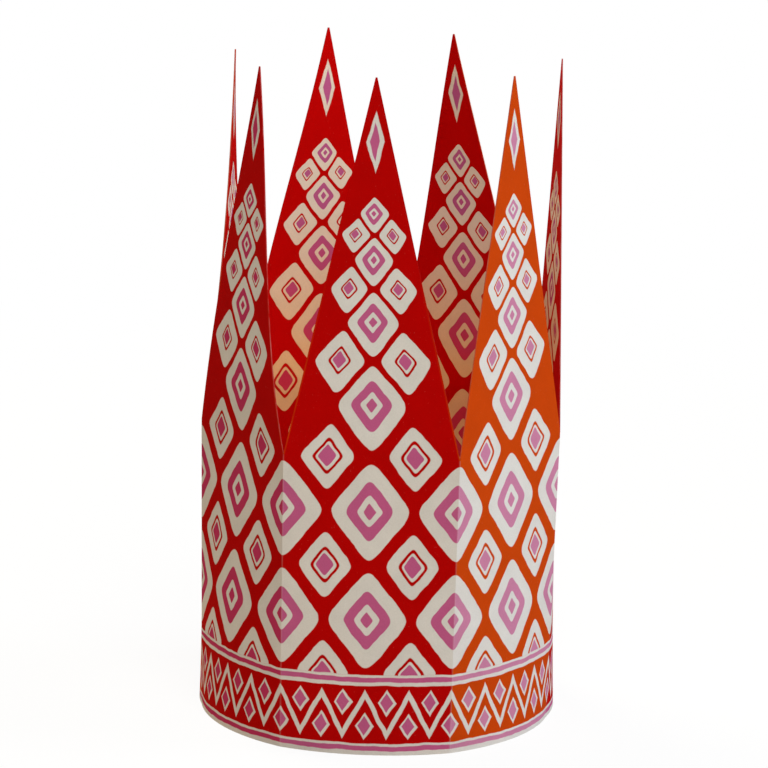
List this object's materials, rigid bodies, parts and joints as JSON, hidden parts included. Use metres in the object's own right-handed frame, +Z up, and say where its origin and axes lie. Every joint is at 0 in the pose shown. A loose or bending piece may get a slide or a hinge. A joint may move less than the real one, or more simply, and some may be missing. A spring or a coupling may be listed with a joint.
{
  "type": "paper crown",
  "caption": "Tall paper crown: a printed card strip cut into pointed panels, creased between them and closed into an oval ring that sits on the head.",
  "frame": {"origin": "middle of the oval that the creases stand on, level with the base edge", "axes": "+Z up towards the tips, -Y out of the front panel, +X to the right seen from the front"},
  "size_m": [0.1684, 0.2002, 0.309],
  "materials": {
    "printed_card": "matte uncoated card, printed red, orange, pink and cream on both faces"
  },
  "bodies": {
    "root": {"crown": "printed_card"}
  },
  "joints": []
}
